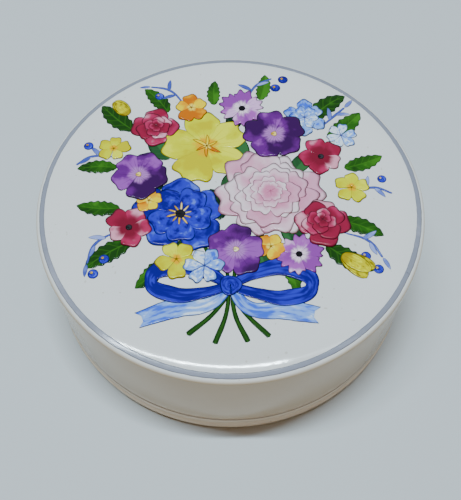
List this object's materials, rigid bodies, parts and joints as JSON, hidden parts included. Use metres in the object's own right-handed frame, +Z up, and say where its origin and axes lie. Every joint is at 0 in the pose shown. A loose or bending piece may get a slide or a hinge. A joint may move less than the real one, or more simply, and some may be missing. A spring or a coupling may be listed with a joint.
{
  "type": "talcum powder box",
  "caption": "Round glazed porcelain powder box: a deep lid slides over a collared base that holds loose powder, a drum sifter with gauze and a ribboned powder puff.",
  "frame": {"origin": "centre of the foot ring's underside, on the surface that the box stands on", "axes": "+Z up along the box's axis; -Y towards the front of the lid's decoration; +X to the right when looking along +Y"},
  "size_m": [0.1105, 0.1104, 0.0392],
  "materials": {
    "porcelain": "gloss white glaze",
    "talc": "loose white powder",
    "drum_card": "paper covered, matt",
    "gauze": "fine open weave",
    "pile": "soft brushed pile",
    "backing_card": "matt",
    "satin": "satin",
    "ribbon": "satin ribbon"
  },
  "bodies": {
    "base_body": {"base": "porcelain", "powder": "talc"},
    "lid_body": {"lid": "porcelain"},
    "sifter_body": {"sifter_hoop": "drum_card", "sifter_gauze": "gauze", "sifter_ring": "drum_card"},
    "puff_body": {"puff_pile": "pile", "puff_card": "backing_card", "puff_cover": "satin", "puff_ribbon": "ribbon"}
  },
  "joints": [
    {"name": "lid_lift", "type": "slide", "parent": "base_body", "child": "lid_body", "axis": [0, 0, 1], "range_m": [0, 0.1]},
    {"name": "puff_lift", "type": "slide", "parent": "base_body", "child": "puff_body", "axis": [0, 0, 1], "range_m": [0, 0.06]},
    {"name": "sifter_lift", "type": "slide", "parent": "base_body", "child": "sifter_body", "axis": [0, 0, 1], "range_m": [0, 0.025]}
  ],
  "couplings": [
    {"joint": "puff_lift", "follows": "lid_lift", "ratio": 0.6},
    {"joint": "sifter_lift", "follows": "lid_lift", "ratio": 0.25}
  ]
}
